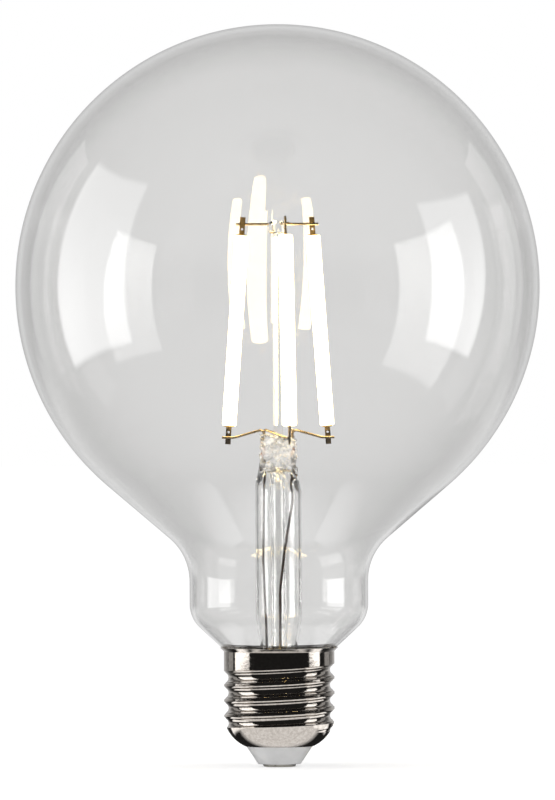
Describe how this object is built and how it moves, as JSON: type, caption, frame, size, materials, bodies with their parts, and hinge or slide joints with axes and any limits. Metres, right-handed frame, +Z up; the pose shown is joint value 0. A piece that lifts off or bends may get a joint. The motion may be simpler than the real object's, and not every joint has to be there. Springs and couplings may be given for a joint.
{
  "type": "led filament bulb",
  "caption": "Clear glass globe bulb with glowing filament strips held on a glass stem, above a rolled nickel screw cap.",
  "frame": {"origin": "centre of the contact's underside, on the bulb's axis", "axes": "+Z up the bulb's axis from the cap to the crown of the globe, -Y toward the viewer, +X to the viewer's right"},
  "size_m": [0.125, 0.125, 0.177],
  "materials": {
    "clear_glass": "clear, polished",
    "filament_coating": "glowing warm white",
    "clip_metal": "dull bronze",
    "inner_wire": "satin",
    "seal_copper": "copper red",
    "dark_wire": "oxidised",
    "shell_nickel": "polished nickel",
    "insulator_white": "white",
    "contact_metal": "satin",
    "cement": "matte",
    "board_laminate": "satin",
    "chip_black": "matte",
    "capacitor_sleeve": "glossy",
    "resistor_coat": "satin"
  },
  "bodies": {
    "root": {"globe": "clear_glass", "stem_tube": "clear_glass", "exhaust_tube": "clear_glass", "support_rod": "clear_glass", "filament_left": "filament_coating", "lower_clip_left": "clip_metal", "upper_clip_left": "clip_metal", "filament_front": "filament_coating", "lower_clip_front": "clip_metal", "upper_clip_front": "clip_metal", "filament_right": "filament_coating", "lower_clip_right": "clip_metal", "upper_clip_right": "clip_metal", "filament_back": "filament_coating", "lower_clip_back": "clip_metal", "upper_clip_back": "clip_metal", "top_wire_left": "inner_wire", "inner_lead_left": "inner_wire", "seal_wire_left": "seal_copper", "outer_lead_left": "dark_wire", "top_wire_right": "inner_wire", "inner_lead_right": "inner_wire", "seal_wire_right": "seal_copper", "outer_lead_right": "dark_wire", "branch_wire_front": "inner_wire", "branch_wire_back": "inner_wire", "screw_shell": "shell_nickel", "insulator": "insulator_white", "centre_contact": "contact_metal", "cap_cement": "cement", "driver_board": "board_laminate", "bridge_rectifier": "chip_black", "driver_chip": "chip_black", "smoothing_capacitor": "capacitor_sleeve", "fuse_resistor": "resistor_coat", "shell_wire": "dark_wire"}
  },
  "joints": []
}
